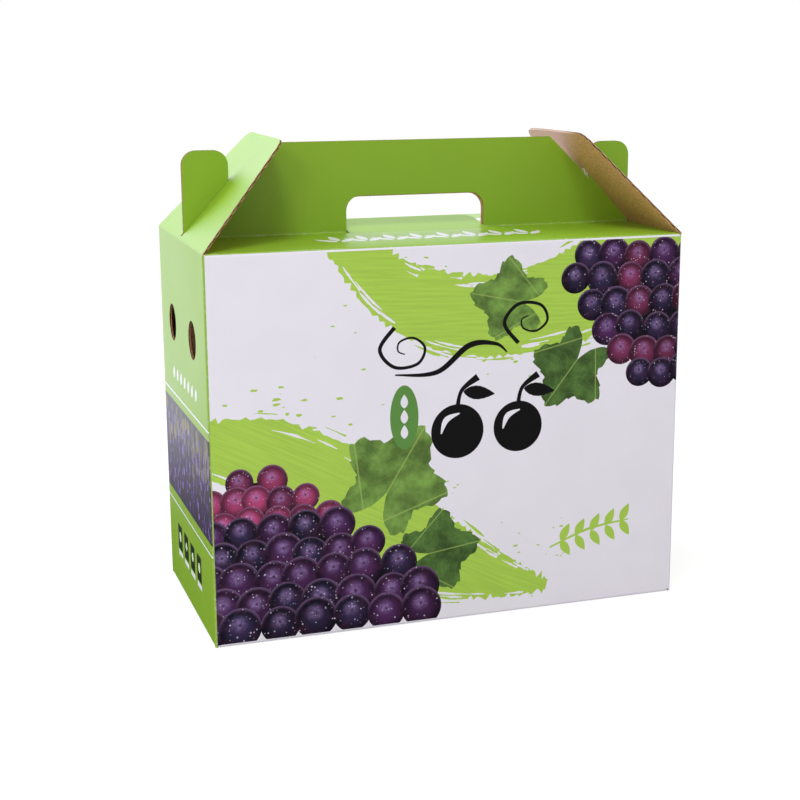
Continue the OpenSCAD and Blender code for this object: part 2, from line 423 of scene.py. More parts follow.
class Nodes:
    """Short calls for building the nodes of a material or of the world."""

    def __init__(self, name, world=False):
        self.material = (bpy.data.worlds if world else bpy.data.materials).new(name)
        self.material.use_nodes = True
        self.tree = self.material.node_tree
        self.shader = self.tree.nodes["Background" if world else "Principled BSDF"]

    def surface(self, colour, roughness, specular=None, normal=None):
        for key, value in (("Base Color", colour), ("Roughness", roughness),
                           ("Specular IOR Level", specular), ("Normal", normal)):
            self.put(self.shader.inputs[key], value)
        return self.material

    def put(self, socket, value):
        if isinstance(value, bpy.types.NodeSocket):
            self.tree.links.new(value, socket)
        elif value is not None:
            socket.default_value = value

    def add(self, kind, out=0, settings=None, **inputs):
        node = self.tree.nodes.new(kind)
        for key, value in (settings or {}).items():
            setattr(node, key, value)
        for key, value in inputs.items():
            self.put(node.inputs[key.replace("_", " ")], value)
        return node.outputs[out]

    def math(self, operation, a, b=None, c=None):
        node = self.tree.nodes.new("ShaderNodeMath")
        node.operation = operation
        for socket, value in zip(node.inputs, (a, b, c)):
            self.put(socket, value)
        return node.outputs[0]

    def times(self, a, b):
        return self.math("MULTIPLY", a, b)

    def span(self, value, low, high, to_low=0.0, to_high=1.0, smooth=True):
        """Value from low..high to to_low..to_high, held at the ends."""
        node = self.tree.nodes.new("ShaderNodeMapRange")
        node.interpolation_type = "SMOOTHSTEP" if smooth else "LINEAR"
        for key, v in (("Value", value), ("From Min", low), ("From Max", high),
                       ("To Min", to_low), ("To Max", to_high)):
            self.put(node.inputs[key], v)
        return node.outputs[0]

    def mix(self, fac, a, b, blend="MIX"):
        node = self.tree.nodes.new("ShaderNodeMix")
        node.data_type = "RGBA"
        node.blend_type = blend
        self.put(node.inputs[0], fac)
        for socket, value in ((node.inputs[6], a), (node.inputs[7], b)):
            self.put(socket, (*value, 1.0) if isinstance(value, tuple) and len(value) == 3 else value)
        return node.outputs[2]

    def scaled(self, colour, factor):
        """A colour times a grey value."""
        grey = self.add("ShaderNodeCombineColor", Red=factor, Green=factor, Blue=factor)
        return self.mix(1.0, colour, grey, "MULTIPLY")

    def rays(self):
        """Whether a ray comes from the camera, and whether it comes off glossy board."""
        path = self.tree.nodes.new("ShaderNodeLightPath")
        return path.outputs["Is Camera Ray"], path.outputs["Is Glossy Ray"]

    def attribute(self, name, out="Vector"):
        return self.add("ShaderNodeAttribute", out, {"attribute_name": name})

    def parts(self, vector):
        node = self.tree.nodes.new("ShaderNodeSeparateXYZ")
        self.put(node.inputs[0], vector)
        return node.outputs[0], node.outputs[1], node.outputs[2]

    def vector(self, x=0.0, y=0.0, z=0.0):
        return self.add("ShaderNodeCombineXYZ", X=x, Y=y, Z=z)

    def distance(self, x, y, cx, cy):
        """Distance of x, y from the point cx, cy."""
        offset = self.vector(self.math("SUBTRACT", x, cx), self.math("SUBTRACT", y, cy))
        return self.add("ShaderNodeVectorMath", 1, {"operation": "LENGTH"}, Vector=offset)

    def noise(self, vector, scale, detail=3.0, rough=0.5):
        return self.add("ShaderNodeTexNoise", 0, Vector=vector, Scale=scale, Detail=detail, Roughness=rough)

    def bump(self, height, distance):
        return self.add("ShaderNodeBump", 0, Height=height, Distance=distance)

    def flutes(self, spot):
        """The wave of the board's flutes, from -1 to 1."""
        return self.math("SINE", self.times(self.parts(spot)[0], math.tau / FLUTE))


def fruit_ink(m, tint, x, y, seed):
    """A round fruit with a soft light in its middle, a pale rim above and fine drops of water."""
    place = m.vector(x, y, seed)
    middle = m.distance(x, y, 0.0, 0.0)
    cloud = m.noise(place, 2.4, 3.0)
    colour = m.scaled(tint, m.span(middle, 0.3, 0.92, 1.25, 0.3))
    colour = m.mix(m.span(cloud, 0.4, 0.75, 0.0, 0.35), colour, m.mix(0.6, tint, WINE))
    light = m.times(m.span(m.distance(x, y, -0.06, 0.22), 0.04, 0.52, 0.42, 0.0),
                    m.span(m.noise(place, 5.5, 3.0), 0.3, 0.7, 0.45, 1.3))
    colour = m.mix(light, colour, ink(168, 134, 198))
    stem = m.span(m.distance(x, y, -0.02, 0.16), 0.04, 0.1, 0.75, 0.0)
    colour = m.mix(stem, colour, ink(34, 22, 38))
    rim = m.times(m.span(middle, 0.8, 0.98, 0.0, 0.5), m.span(y, -0.2, 0.8, 0.0, 1.0))
    colour = m.mix(rim, colour, m.mix(0.5, tint, ink(176, 132, 188)))
    cell = m.add("ShaderNodeTexVoronoi", 0, Vector=place, Scale=6.5).node
    sized = m.add("ShaderNodeSeparateColor", 0, Color=cell.outputs["Color"])
    reach = m.span(sized, 0.35, 1.0, 0.0, 0.3, False)
    drop = m.math("LESS_THAN", cell.outputs["Distance"], reach)
    drop = m.times(drop, m.span(m.noise(place, 2.1), 0.4, 0.6, 0.15, 0.6))
    return m.mix(drop, colour, ink(226, 212, 236))


def leaf_ink(m, tint, x, y, seed):
    """A broad leaf with veins that run out from its stalk and a mottled blade."""
    place = m.vector(x, y, seed)
    blade = m.span(m.noise(place, 2.6, 4.0), 0.3, 0.7, 0.62, 1.4)
    cells = m.span(m.noise(place, 14.0, 3.0), 0.2, 0.8, 0.86, 1.14)
    colour = m.scaled(tint, m.times(blade, cells))
    angle = m.math("ARCTAN2", y, m.math("ADD", x, 0.92))
    wave = m.math("ABSOLUTE", m.math("SINE", m.times(angle, 4.6)))
    far = m.distance(x, y, -0.92, 0.0)
    vein = m.times(wave, m.math("ADD", far, 0.05))
    small = m.math("MULTIPLY_ADD", far, 17.0, m.times(wave, 5.0))
    small = m.math("ABSOLUTE", m.math("SINE", small))
    colour = m.mix(m.span(small, 0.0, 0.16, 0.22, 0.0), colour, ink(150, 172, 88))
    return m.mix(m.span(vein, 0.03, 0.09, 0.6, 0.0), colour, ink(160, 184, 92))


def print_material():
    """Offset ink on white-lined board, under a thin varnish."""
    m = Nodes("printed_board")
    tint = m.attribute("tint", "Color")
    x, y, seed = m.parts(m.attribute("local"))
    is_fruit, is_leaf, is_sweep = m.parts(m.attribute("kind"))
    spot = m.attribute("spot")
    colour = m.mix(is_fruit, tint, fruit_ink(m, tint, x, y, seed))
    colour = m.mix(is_leaf, colour, leaf_ink(m, tint, x, y, seed))
    streaks = m.noise(m.vector(m.times(x, 0.5), m.times(y, 14.0), seed), 2.0)
    sweep = m.scaled(tint, m.span(streaks, 0.3, 0.7, 0.93, 1.07))
    colour = m.mix(is_sweep, colour, sweep)
    mottle = m.noise(spot, 0.03, 2.0)
    colour = m.scaled(colour, m.span(mottle, 0.3, 0.7, 0.985, 1.01))
    wear_and_painted_light = m.attribute("wear_and_painted_light", "Fac")
    # Paler ink along the creases and past the slit's end: partly wear, partly a painted highlight on the
    # creases
    wear_and_highlight_mask = m.times(wear_and_painted_light, m.span(m.noise(spot, 0.35, 4.0), 0.5, 0.72, 0.03, 0.3))
    colour = m.mix(wear_and_highlight_mask, colour, PAPER)
    waves = m.times(m.noise(spot, 0.012, 1.0), 0.6)
    relief = m.math("MULTIPLY_ADD", m.flutes(spot), 0.003, waves)
    return m.surface(colour, 0.4, 0.5, m.bump(relief, MM))


def kraft_colour(m, spot):
    """Brown paper: fibres a little longer than wide, cloudy patches and dark specks."""
    across, up, _ = m.parts(spot)
    drawn_out = m.vector(m.times(across, 0.9), m.times(up, 0.6), 0.0)
    fibres = m.noise(drawn_out, 1.0, 5.0, 0.7)
    colour = m.mix(m.span(fibres, 0.36, 0.66), ink(197, 140, 94), ink(238, 179, 128))
    colour = m.scaled(colour, m.span(m.noise(spot, 1.0, 2.0), 0.36, 0.64, 0.83, 1.15))
    specks = m.noise(spot, 2.2, 2.0)
    return m.mix(m.span(specks, 0.66, 0.78, 0.0, 0.55), colour, ink(104, 76, 48))


def kraft_material():
    """The unprinted liner inside, with the flutes showing faintly and painted light near the right flap's
    tip.
    """
    m = Nodes("kraft_liner")
    spot = m.attribute("spot")
    across, up, _ = m.parts(spot)
    flute = m.flutes(spot)
    colour = m.scaled(kraft_colour(m, spot), m.span(flute, -1.0, 1.0, 0.95, 1.03))
    painted_light_streaks = m.noise(m.vector(m.times(across, 0.25), up, 0.0), 1.6, 4.0)
    # Painted light: towards the right flap's tip its inside turns pale pink, as if lit from behind
    painted_light = m.times(m.attribute("wear_and_painted_light", "Fac"), m.span(painted_light_streaks, 0.25, 0.6, 0.75, 1.0))
    colour = m.mix(painted_light, colour, PAINTED_LIGHT_PINK)
    grain = m.times(m.noise(spot, 1.4, 4.0), 0.1)
    relief = m.math("ADD", m.times(flute, 0.03), grain)
    return m.surface(colour, 0.62, 0.5, m.bump(relief, MM))


def edge_material():
    """A cut through the board: two liners and the wave of the flutes between them."""
    m = Nodes("cut_edge")
    spot = m.attribute("spot")
    _, _, depth = m.parts(spot)
    middle = m.math("ADD", m.times(m.flutes(spot), 0.27 * BOARD), BOARD / 2)
    off_wave = m.math("ABSOLUTE", m.math("SUBTRACT", depth, middle))
    on_wave = m.span(off_wave, 0.16, 0.3, 1.0, 0.0)
    on_liner = m.span(m.math("ABSOLUTE", m.math("SUBTRACT", depth, BOARD / 2)), 0.5, 0.6)
    board = m.math("MAXIMUM", on_wave, on_liner)
    # The gaps between the flutes are dark brown: painted shade in the hollow channels
    colour = m.mix(board, ink(52, 34, 20), m.scaled(kraft_colour(m, spot), 0.72))
    colour = m.mix(m.span(depth, 0.12, 0.26, 0.8, 0.0), colour, ink(206, 196, 178))
    # Paler cut edges where the print is worn, where creases carry a painted highlight, and beside the
    # painted light inside the right flap
    wear_and_light_on_edge = m.span(m.attribute("wear_and_painted_light", "Fac"), 0.0, 0.5, 0.0, 0.8)
    colour = m.mix(wear_and_light_on_edge, colour, ink(222, 194, 178))
    return m.surface(colour, 0.9, 0.15, m.bump(board, 0.3 * MM))


PRINT, KRAFT, EDGE = print_material(), kraft_material(), edge_material()


# Walls

def wall_chain(length):
    """A wall between the middles of its two corner creases, as seen from above, running along +X."""
    corner = CREASE * math.sin(math.radians(45))
    start = (-length / 2 + CREASE - corner, CREASE - corner)
    chain = Chain(start, -45, -1)
    return chain.crease(45, CREASE).run(length - 2 * CREASE).crease(45, CREASE)


def spun(place, degrees, shift):
    """A wall's place, turned about the carton's axis and moved out to its side."""
    def other(a, b, w):
        p = place(a, b, w)
        return Matrix.Rotation(math.radians(degrees), 3, "Z") @ Vector((p.x, p.y - shift, p.z))
    return other


def front_art():
    """Dark round fruits, broad leaves and soft green sweeps on a pale ground."""
    rng = random.Random(7)
    high, right = HEIGHT, HALF_W
    shapes = brushed([(-74, high + 10, 14), (-40, 222, 20), (6, 204, 26), (60, 206, 28),
                      (118, 226, 34), (right + 8, 250, 36)], 4.0, 3)
    shapes += brushed([(-right - 8, 132, 16), (-116, 116, 28), (-62, 78, 34), (-16, 46, 28),
                       (30, 26, 15), (66, 16, 4)], 4.5, 8)
    splashes = ((-30, 214, 46), (40, 186, 40), (-40, 96, 42), (50, 40, 40), (-110, 150, 30))
    margin = 6
    for _ in range(150):
        x, y, reach = rng.choice(splashes)
        x, y = rng.gauss(x, reach * 0.7), rng.gauss(y, reach * 0.42)
        wide = rng.uniform(0.3, 1.5) * rng.random() + 0.25
        if abs(x) < right - margin and margin < y < high - margin:
            shapes.append(blob(x, y, wide * 1.8, wide * 0.7, SWEEP, rng))
    leaves = ((66, 206, 56, 168, LEAF), (100, 188, 60, 232, DARK_LEAF),
              (-62, 66, 78, 58, LEAF), (-40, 44, 58, 8, DARK_LEAF))
    for x, y, size, angle, tint in leaves:
        shapes.append(vine_leaf(x, y, size, angle, tint, x * 0.1))
    shapes += heap(rng, [(106, -142, -120, 9.5), (93, -160, -100, 10), (80, -152, -84, 10)],
                   [ROSE, ROSE, WINE])
    shapes += heap(rng, [(72, -162, -80, 12), (58, -154, -58, 12.5), (42, -164, -40, 13),
                         (26, -156, -22, 13.5), (11, -166, -24, 13.5)], [PLUM, PLUM, NIGHT])
    shapes += heap(rng, [(238, 92, 166, 10.5), (223, 84, 162, 11), (206, 96, 166, 11.5),
                         (189, 106, 162, 11), (173, 118, 166, 10.5), (158, 132, 162, 10)],
                   [NIGHT, NIGHT, PLUM, WINE])
    shapes += emblem(2, 138)
    shapes += sprig(96, 52)
    shapes.append(strip(-right - 2, -right + WRAP, LIME))
    return shapes


def strip(left, right, tint=PAPER):
    """An upright strip from floor to roof."""
    corners = ((left, -2), (right, -2), (right, HEIGHT + 2), (left, HEIGHT + 2))
    return Shape("flat", tint, [Vector(p) for p in corners])


def emblem(x, y):
    """Two dark fruits on their stalks under a curled tendril, and a green oval beside them."""
    shapes = []
    for turn, cx, cy in ((1, x - 34, y + 46), (-1, x + 50, y + 60)):
        coil = []
        for k in range(9):
            angle = math.radians(-70 + 62 * k) * turn
            r = 4 + 2.0 * k
            coil.append((cx - r * math.cos(angle), cy + r * math.sin(angle) * 0.8, 0.4 + 0.12 * k))
        shapes.append(stroke("flat", BLACK, coil))
    tendril = [(x - 42, y + 30, 0.5), (x - 14, y + 30, 1.6), (x + 8, y + 46, 1.9), (x + 26, y + 46, 1.2),
               (x + 34, y + 40, 0.5)]
    shapes.append(stroke("flat", BLACK, tendril))
    for dx, r in ((0, 18), (42, 17)):
        cx, cy = x + dx, y - 10
        shapes.append(Shape("flat", BLACK, circle(cx, cy, r, 56)))
        shine = [(cx - 0.62 * r, cy - 0.05 * r, 0.4), (cx - 0.42 * r, cy + 0.45 * r, 1.9),
                 (cx + 0.08 * r, cy + 0.66 * r, 0.4)]
        shapes.append(stroke("flat", PAPER, shine))
        stalk = [(cx, cy + r - 2, 1.5), (cx + 3, cy + r + 9, 1.3), (cx + 14, cy + r + 17, 2.4)]
        shapes.append(stroke("flat", BLACK, stalk))
        shapes.append(flat_leaf(cx + 4, cy + r + 8, 22, 9, -8, BLACK))
    badge = [Vector((x - 36 + 9.5 * math.cos(t / 24 * math.pi), y + 2 + 21 * math.sin(t / 24 * math.pi)))
             for t in range(48)]
    shapes.append(Shape("flat", SEAL, badge))
    for k in range(3):
        shapes.append(flat_leaf(x - 36, y - 12 + 10 * k, 9, 5, 90, PAPER))
    return shapes


def brushed(points, rough, seed):
    """A broad green sweep whose sides break up into streaks, as a dry brush leaves them."""
    rng = random.Random(seed)
    shapes = [stroke("sweep", SWEEP, points, rough, seed, 22)]
    line = spline(points, 10)
    for k in range(44):
        at = rng.randrange(1, len(line) - 6)
        span = line[at:at + rng.randrange(3, 6)]
        side = rng.choice((-1, 1))
        off = rng.uniform(0.7, 1.16)
        tint = SWEEP if off > 0.98 else PAPER
        streak = []
        for i, p in enumerate(span):
            ahead = Vector(line[at + i + 1][:2]) - Vector(p[:2])
            normal = Vector((-ahead.y, ahead.x)).normalized()
            q = Vector(p[:2]) + normal * side * p.z * off
            thick = rng.uniform(0.25, 1.1) * math.sin(math.pi * (i + 0.3) / (len(span) + 0.3))
            streak.append((q.x, q.y, thick))
        shapes.append(stroke("sweep", tint, streak, 0.25, k, 3))
    return shapes


def sprig(x, y):
    """A small green twig with paired leaves."""
    shapes = [stroke("flat", SWEEP, [(x - 28, y - 10, 0.6), (x, y, 0.9), (x + 30, y + 4, 0.5)])]
    for k in range(5):
        px = x - 20 + 11 * k
        py = y - 6 + 2.4 * k
        for degrees in (62, -58):
            shapes.append(flat_leaf(px, py, 13, 6, degrees, SWEEP))
    return shapes


def side_art():
    """A dark band of violet blossom between two white lines, leaves above it and dark tiles below."""
    rng = random.Random(11)
    edge = HALF_D + 2
    shapes = []
    for low, high, tint in ((59.4, 60.6, PAPER), (139.8, 141.0, PAPER), (67.4, 134.5, BAND)):
        shapes.append(Shape("flat", tint, box_loop(-edge, edge, low, high)))
    for _ in range(60):
        x = rng.uniform(-80, 80)
        high = 134 - 30 * rng.random() ** 1.6
        tint = rng.choice(STEMS)
        shapes.append(blob(x, high - 4, rng.uniform(2, 5), rng.uniform(3, 8), tint, rng))
    for k in range(13):
        x = -78 + 12.5 * k + rng.uniform(-2, 2)
        for j in range(13):
            z = 71 + 4.4 * j + rng.uniform(-1.5, 1.5)
            reach = 5.5 * (1 - 0.055 * j)
            tint = rng.choice(PETALS)
            px = x + rng.uniform(-reach, reach)
            shapes.append(blob(px, z, rng.uniform(1, 2.4), rng.uniform(1.5, 3.6), tint, rng))
    shapes = [s for s in shapes if s.tint == PAPER or s.lies_between(67.3, 134.6)]
    for k in range(7):
        shapes.append(flat_leaf(-39 + 13 * k, 151.5, 10, 5.5, 62, PAPER))
    for k, sides in enumerate((24, 4, 6, 8)):
        x = -38 + 23 * k
        shapes.append(Shape("flat", TILE, box_loop(x - 7.5, x + 7.5, 28.5, 46.5)))
        shapes.append(Shape("flat", CAPTION, circle(x, 38, 3.6, sides)))
        shapes.append(Shape("flat", PAPER, box_loop(x - 7.5, x + 7.5, 24, 27.5)))
    return shapes


def box_loop(left, right, low, high):
    return [Vector(p) for p in ((left, low), (right, low), (right, high), (left, high))]


def blob(x, y, wide, tall, tint, rng):
    """A petal-sized spot of colour with an uneven rim."""
    rim = [1 + rng.uniform(-0.3, 0.3) for _ in range(9)]
    loop = [Vector((x + wide * r * math.cos(math.tau * i / 9), y + tall * r * math.sin(math.tau * i / 9)))
            for i, r in enumerate(rim)]
    return Shape("flat", tint, loop)


def crease_wear_and_highlight(half):
    """Worn ink and a painted highlight along the two corner creases of a wall."""
    def wear_and_painted_light(a, b):
        return 1.0 if abs(a) > half - 0.5 * CREASE else 0.0
    return wear_and_painted_light


def walls():
    """The four walls, each between the middles of its corner creases; the back one has the glue tab."""
    low, high = CREASE, HEIGHT - CREASE
    flap_crease = CREASE * math.tan(math.radians((90 - FLAP_SLOPE) / 2))
    chain = wall_chain(WIDTH)
    half = chain.length / 2
    tall = [(ROOF_HALF, high), (ROOF_HALF, HEIGHT - WALL_FOOT), (half, HEIGHT - WALL_FOOT),
            (half, WALL_FOOT), (ROOF_HALF, WALL_FOOT), (ROOF_HALF, low)]
    outline = [Vector(p) for p in tall] + [Vector((-x, y)) for x, y in tall[::-1]]
    lines = crease_lines(chain, (0, HEIGHT), -half, True)
    sheet("front_wall", outline, spun(in_plan(chain, -half), 0, HALF_D), (), front_art(), lines,
          wear_and_crease_highlight=crease_wear_and_highlight(half))

    chain = seam_chain()
    shift = chain.length - half
    tab = -chain.length + half
    fold = tab + GLUE_W - CREASE
    corner = fold + math.pi / 2 * CREASE
    glued = [(corner, high), (fold, HEIGHT - GLUE_END), (tab, HEIGHT - GLUE_END - GLUE_W / 3),
             (tab, GLUE_END / 2 + GLUE_W / 3), (fold, GLUE_END / 2), (corner, low)]
    outline = [Vector(p) for p in tall[::-1] + glued]
    lines = crease_lines(chain, (0, HEIGHT), -shift, True)
    sheet("back_wall", outline, spun(in_plan(chain, -shift), 180, HALF_D), (), front_art(), lines,
          wear_and_crease_highlight=crease_wear_and_highlight(half))

    chain = wall_chain(DEPTH)
    half = chain.length / 2
    top = HEIGHT - flap_crease
    holes = [circle(y, VENT_Z, VENT_R, 64) for y in (-VENT_Y, VENT_Y)]
    lines = crease_lines(chain, (0, HEIGHT), -half, True)
    inner = HALF_D - CREASE
    low_corner = [(half, WALL_FOOT), (inner, WALL_FOOT), (inner, low)]
    outline = [Vector(p) for p in [(half, top)] + low_corner]
    outline += [Vector((-x, y)) for x, y in low_corner[::-1]] + [Vector((-half, top))]
    for name, degrees in (("left_wall", -90), ("right_wall", 90)):
        art = side_art()
        if name == "right_wall":
            art.append(strip(-half - 1, -half + WRAP))
        sheet(name, outline, spun(in_plan(chain, -half), degrees, HALF_W), holes, art, lines,
              ground=LIME, wear_and_crease_highlight=crease_wear_and_highlight(half))


def seam_chain():
    """The back wall, seen from above and turned to the front: its left end folds inside the side wall."""
    inside = HALF_W - BOARD - FILM
    chain = Chain((-inside, GLUE_W), -90, -1)
    chain.run(GLUE_W - CREASE).crease(90, CREASE)
    return chain.run(inside - CREASE + HALF_W - CREASE).crease(45, CREASE)


# Roof and handle

def handle_half():
    """Half of the handle's outline above the roof: ear, notch and top."""
    return [(EAR_OUT, 0, 0), (EAR_OUT, EAR_TOP, EAR_R), (EAR_IN, EAR_TOP, EAR_R), (EAR_IN, NOTCH, 0),
            (EAR_IN - NOTCH_W, NOTCH, 0), (HANDLE_HALF, HANDLE_TOP, 0)]


def top_chain():
    """From the front wall's top over the roof and up the handle."""
    chain = Chain((-HALF_D, HEIGHT - CREASE), 90, 1)
    chain.crease(-90, CREASE)
    chain.run(HALF_D - CREASE - HANDLE_Y - INNER_CREASE)
    chain.crease(90, INNER_CREASE)
    return chain.run(HANDLE_TOP)


def tops():
    """The front and the back board of the roof and the handle."""
    chain = top_chain()
    base = chain.bends[1][1] - INNER_CREASE  # chain length at the roof's height on the handle
    half = [(ROOF_HALF, 0, 0), (ROOF_HALF, base - 2, 0), (EAR_OUT, base - 1.9, 0)]
    half += [(x, y + base, r) for x, y, r in handle_half()[1:]]
    outline = rounded(mirrored(half))
    hole = rounded(mirrored([(HAND_HALF, base, 0), (HAND_HALF, base + HAND_TOP, HAND_R)]))
    back_hole = rounded(mirrored([(HAND_HALF, base, 0), (HAND_HALF, base + HAND_TOP - SLIP, HAND_R)]))
    back_hole = [p + Vector((SLIP, 0)) for p in back_hole]
    white = [Vector(p) for p in ((-200, -1), (200, -1), (200, 1.3), (-200, 1.3))]
    shapes = [Shape("flat", PAPER, white)]
    for k in range(8):
        x = -66 + 18.5 * k
        for dx, low, long, lean in ((-1.5, 31, 20, 125), (1.5, 31, 20, 55), (0, 36, 24, 90)):
            shapes.append(flat_leaf(x + dx, low, long, 6, lean, PAPER))
    lines = crease_lines(chain)
    for b in (base - 1.8, base - 0.6, base + 0.6, base + 1.8):
        lines.append(((-BEYOND, b), (BEYOND, b)))

    # Paler along the roof's front crease and the handle's base crease: worn ink and a painted highlight
    def wear_and_crease_highlight(a, b):
        if 0.3 * CREASE < b < 1.3 * CREASE:
            return 1.0
        return 0.9 if abs(b - base) < 0.7 else 0.0
    return [sheet("front_roof_and_handle", outline, in_section(chain), [hole], shapes, lines,
                  ground=LIME, wear_and_crease_highlight=wear_and_crease_highlight),
            sheet("back_roof_and_handle", outline, turned(in_section(chain)), [back_hole], shapes, lines,
                  ground=LIME, wear_and_crease_highlight=wear_and_crease_highlight)]


# Floor flaps

def floor_chain(lift, run_from, run_to, reach):
    """A floor flap from the foot of its wall: it climbs by lift between run_from and run_to."""
    chain = Chain((0, CREASE), -90, -1)
    chain.crease(90, CREASE)
    slope = math.degrees(math.atan2(lift, run_to - run_from))
    soft = 3.0
    bend = soft * math.tan(math.radians(slope / 2))
    chain.run(run_from - CREASE - bend).crease(slope, soft)
    chain.run(math.hypot(lift, run_to - run_from) - 2 * bend).crease(-slope, soft)
    return chain.run(reach - run_to)


def floor_flap(name, degrees, shift, chain, half, slot):
    """A floor flap, with its outline in CAD distances from the wall's face."""
    extra = (math.pi / 2 - 1) * CREASE
    corners = [(x, y + extra if y > 0 else 0, r) for x, y, r in half]
    ground = PAPER if slot == "white_board" else LIME
    sheet(name, rounded(corners), spun(in_section(chain), degrees, shift),
          lines=crease_lines(chain), ground=ground)


def floor():
    """The three-step snap lock: the front flap with its tongue, the back flap and the two side flaps."""
    reach = FRONT_FLAP + TONGUE_RUN + TONGUE_LAP
    inset = HALF_W - FLOOR_INSET
    foot = HALF_W - 2 * BOARD
    straight = BOARD + FLOOR_STRAIGHT
    climb = FLOOR_INSET - 2 * BOARD - FLOOR_TAPER
    front = [(foot, 0, 0), (foot, straight, 0), (inset + FLOOR_TAPER, climb + straight, 0),
             (inset, FRONT_FLAP, FLOOR_R), (TONGUE_W / 2 + FLOOR_R, FRONT_FLAP, FLOOR_R / 2),
             (TONGUE_W / 2 - FLOOR_R / 2, reach, FLOOR_R)]
    chain = floor_chain(3 * LAYER, FRONT_FLAP, FRONT_FLAP + TONGUE_RUN, reach)
    floor_flap("front_floor_flap", 0, HALF_D, chain, mirrored(front), "white_board")

    foot = HALF_W - 3 * BOARD
    cut_in = HALF_W - SHOULDER - 2 * BOARD - FLOOR_TAPER
    recess = TONGUE_W / 2 + FLOOR_R
    back = [(foot, 0, 0), (foot, straight, 0), (SHOULDER + FLOOR_TAPER, cut_in + BOARD, 0),
            (SHOULDER, BACK_FLAP, FLOOR_R), (recess + FLOOR_R, BACK_FLAP, FLOOR_R),
            (recess, BACK_RECESS, FLOOR_R / 2)]
    chain = floor_chain(2 * LAYER, 2 * BOARD, BACK_RUN, BACK_FLAP)
    floor_flap("back_floor_flap", 180, HALF_D, chain, mirrored(back), "white_board")

    foot = HALF_D - 2 * BOARD
    back_cut = HALF_W - SHOULDER - BOARD
    side = [(foot, 0, 0), (foot, BOARD, 0),
            (HALF_D - FLOOR_INSET + 2 * BOARD, FLOOR_INSET - 2 * BOARD - MITRE_GAP, 0),
            (HALF_D - FLOOR_INSET - 2 * BOARD, SIDE_FLAP, FLOOR_R),
            (HALF_D - BACK_FLAP + 4 * FLOOR_R, SIDE_FLAP, FLOOR_R),
            (-HALF_D + back_cut + BOARD, back_cut - MITRE_GAP, 0), (-foot, BOARD, 0), (-foot, 0, 0)]
    chain = floor_chain(LAYER, 2 * BOARD, 2 * BOARD + SIDE_RUN, SIDE_FLAP)
    floor_flap("left_floor_flap", -90, HALF_W, chain, side, "green_board")
    other = [(-x, y, r) for x, y, r in reversed(side)]
    floor_flap("right_floor_flap", 90, HALF_W, chain, other, "green_board")


# Lock flaps and the tab

PRESS_FROM, PRESS_FULL, PRESS_WIDE = 34.0, 62.0, 36.0  # the dip, along and across a flap
PRESS_SOFT, PRESS_BACK = 2.5, 0.75  # the dip's rounding, and how much of it the tip recovers
SLIT_NARROWS, SLIT_CLOSES = 47.0, 53.0
TORN_FROM, TORN_HALF = 62.0, 2.0  # the print is worn beyond the slit's end
LIGHT_EDGE_UP, LIGHT_EDGE_ALONG = 31.0, 40.0  # slope of the painted light's border, along the handle's shadow line
LIGHT_EARLY, LIGHT_SOFT = 5.0, 15.0  # the painted light starts before that border and grows over this way


def lock_flap(name, side, dip, droop):
    """A lock flap, pressed in by dip where the slit ends and by droop at the tip's back corner."""
    lean = 90 - FLAP_SLOPE
    short = CREASE * math.tan(math.radians(lean / 2))
    chain = Chain((-HALF_W, HEIGHT - short), 90, 1)
    chain.crease(-lean, CREASE).run(FLAP_LEN - short)
    fold = chain.bends[0][1] - short

    def place(a, b, w):
        point, normal = chain.at(b)
        s = b - fold
        rise = max(0.0, min(1.0, (s - PRESS_FROM) / (PRESS_FULL - PRESS_FROM)))
        rise -= PRESS_BACK * max(0.0, (s - PRESS_FULL) / (FLAP_LEN - PRESS_FULL))
        press = dip * rise * max(0.0, 1 - math.hypot(a, PRESS_SOFT) / PRESS_WIDE)
        press += droop * max(0.0, -a * side / FLAP_TIP) ** 1.5 * max(0.0, s / FLAP_LEN) ** 2
        point = point - normal * (w + press)
        return Vector((point.x, a, point.y)) if side < 0 else Vector((-point.x, -a, point.y))

    # Worn print past the slit's end, and wear with a painted highlight on the fold
    def wear_and_crease_highlight(a, b):
        beyond_slit = b - fold > TORN_FROM and abs(a) < TORN_HALF
        return 1.0 if b < 0.5 * CREASE or beyond_slit else 0.0

    def painted_light(a, b):
        """Painted light on the inside: pale from a slanting line through the slit's end to the tip's back
        corner.
        """
        beyond = (LIGHT_EDGE_UP * a - LIGHT_EDGE_ALONG * (b - fold - SLIT_TO)) / -math.hypot(LIGHT_EDGE_UP, LIGHT_EDGE_ALONG)
        return max(0.0, min(1.0, (beyond + LIGHT_EARLY) / LIGHT_SOFT)) if side > 0 else 0.0

    half = [(FLAP_BASE, 0, 0), (FLAP_BASE, fold, 0), (FLAP_TIP, fold + FLAP_LEN, FLAP_R)]
    slit = [(SLIT_HALF, fold + SLIT_FROM), (SLIT_HALF, fold + SLIT_NARROWS), (0.3, fold + SLIT_CLOSES),
            (0.12, fold + SLIT_TO)]
    hole = [Vector(p) for p in slit] + [Vector((-x, y)) for x, y in slit[::-1]]
    wide = 90.0  # past the flap's sides
    lines = crease_lines(chain, (-wide, wide))
    for s in range(40, 88, 4):
        lines.append(((-wide, fold + s), (wide, fold + s)))
    low, high = fold + 38, fold + 95  # from before the dip to past the tip
    for x in (0, 2, 5, 10, 18, 28, 38, 44):
        for across in (x, -x) if x else (x,):
            lines.append(((across, low), (across, high)))
    piece = sheet(name, rounded(mirrored(half)), place, [hole], (), lines,
                  body="left_flap" if side < 0 else "right_flap",
                  ground=LIME, wear_and_crease_highlight=wear_and_crease_highlight, painted_light=painted_light)
    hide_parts("left_lock_flap" if side < 0 else "right_lock_flap")


